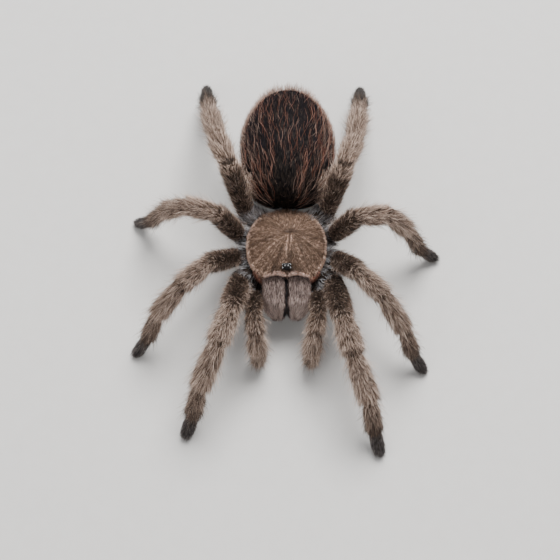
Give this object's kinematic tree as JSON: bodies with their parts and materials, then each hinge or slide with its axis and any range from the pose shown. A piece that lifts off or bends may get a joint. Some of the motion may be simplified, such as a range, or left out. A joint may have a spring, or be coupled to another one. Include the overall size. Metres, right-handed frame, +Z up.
{
  "type": "tarantula",
  "caption": "Life-size brown tarantula standing at rest, long-haired legs spread, with a domed shield and a round dark abdomen.",
  "frame": {"origin": "on the floor, under the middle of the whole animal's outline", "axes": "+Z up from the floor, -Y the way the animal faces, +X to the animal's own left"},
  "size_m": [0.0706, 0.0942, 0.0237],
  "materials": {
    "carapace_coat": "short velvety golden-brown hair, paler round the margin",
    "abdomen_coat": "black velvet under long rust-coloured hairs",
    "leg_coat": "black-brown on the thighs, long pale grey-brown hair beyond the knees",
    "foot_coat": "dense dark slate pile",
    "jaw_coat": "fine lying grey-brown hair",
    "underside_coat": "dark brown hair, with pale grey tufts over the leg bases",
    "skin": "matt dark brown skin",
    "eye": "glossy black",
    "fang": "polished black, reddish at the tip"
  },
  "bodies": {
    "root": {"carapace": "carapace_coat", "eye_mound": "eye", "sternum_and_coxae": "underside_coat", "abdomen": "abdomen_coat", "pedicel": "skin", "chelicera_left": "jaw_coat", "fang_left": "fang", "spinneret_left": "skin", "chelicera_right": "jaw_coat", "fang_right": "fang", "spinneret_right": "skin", "leg_left_1_femur": "leg_coat", "leg_left_1_patella": "leg_coat", "leg_left_1_tibia": "leg_coat", "leg_left_1_metatarsus": "leg_coat", "leg_left_1_tarsus": "foot_coat", "leg_left_2_femur": "leg_coat", "leg_left_2_patella": "leg_coat", "leg_left_2_tibia": "leg_coat", "leg_left_2_metatarsus": "leg_coat", "leg_left_2_tarsus": "foot_coat", "leg_left_3_femur": "leg_coat", "leg_left_3_patella": "leg_coat", "leg_left_3_tibia": "leg_coat", "leg_left_3_metatarsus": "leg_coat", "leg_left_3_tarsus": "foot_coat", "leg_left_4_femur": "leg_coat", "leg_left_4_patella": "leg_coat", "leg_left_4_tibia": "leg_coat", "leg_left_4_metatarsus": "leg_coat", "leg_left_4_tarsus": "foot_coat", "leg_right_1_femur": "leg_coat", "leg_right_1_patella": "leg_coat", "leg_right_1_tibia": "leg_coat", "leg_right_1_metatarsus": "leg_coat", "leg_right_1_tarsus": "foot_coat", "leg_right_2_femur": "leg_coat", "leg_right_2_patella": "leg_coat", "leg_right_2_tibia": "leg_coat", "leg_right_2_metatarsus": "leg_coat", "leg_right_2_tarsus": "foot_coat", "leg_right_3_femur": "leg_coat", "leg_right_3_patella": "leg_coat", "leg_right_3_tibia": "leg_coat", "leg_right_3_metatarsus": "leg_coat", "leg_right_3_tarsus": "foot_coat", "leg_right_4_femur": "leg_coat", "leg_right_4_patella": "leg_coat", "leg_right_4_tibia": "leg_coat", "leg_right_4_metatarsus": "leg_coat", "leg_right_4_tarsus": "foot_coat", "palp_left_femur": "leg_coat", "palp_left_patella": "leg_coat", "palp_left_tibia": "leg_coat", "palp_left_tarsus": "foot_coat", "palp_right_femur": "leg_coat", "palp_right_patella": "leg_coat", "palp_right_tibia": "leg_coat", "palp_right_tarsus": "foot_coat"}
  },
  "joints": []
}
